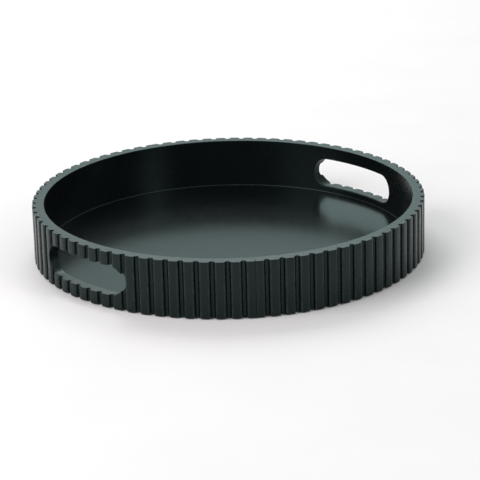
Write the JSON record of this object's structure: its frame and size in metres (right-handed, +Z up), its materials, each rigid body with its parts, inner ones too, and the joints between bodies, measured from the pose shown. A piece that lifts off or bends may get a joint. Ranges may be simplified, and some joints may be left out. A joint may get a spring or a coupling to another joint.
{
  "type": "round reeded serving tray",
  "caption": "Round serving tray with a flat floor, a low upright wall reeded on its outside, and two level hand slots cut through the wall opposite each other.",
  "frame": {"origin": "on the table, under the centre of the tray", "axes": "+Z up through the tray's middle; the two hand slots lie on the X axis, opposite each other"},
  "size_m": [0.4, 0.4, 0.0583],
  "materials": {
    "lacquered_wood": "satin green-black lacquer sprayed over bent plywood and fibreboard",
    "pad_felt": "pressed charcoal felt",
    "screw_steel": "zinc-plated steel"
  },
  "bodies": {
    "root": {"base_panel": "lacquered_wood", "inner_hoop": "lacquered_wood", "reeded_strip_long": "lacquered_wood", "reeded_strip_short": "lacquered_wood", "felt_pad_1": "pad_felt", "felt_pad_2": "pad_felt", "felt_pad_3": "pad_felt", "felt_pad_4": "pad_felt", "base_screw_1": "screw_steel", "base_screw_2": "screw_steel", "base_screw_3": "screw_steel", "base_screw_4": "screw_steel", "base_screw_5": "screw_steel", "base_screw_6": "screw_steel", "base_screw_7": "screw_steel", "base_screw_8": "screw_steel"}
  },
  "joints": []
}
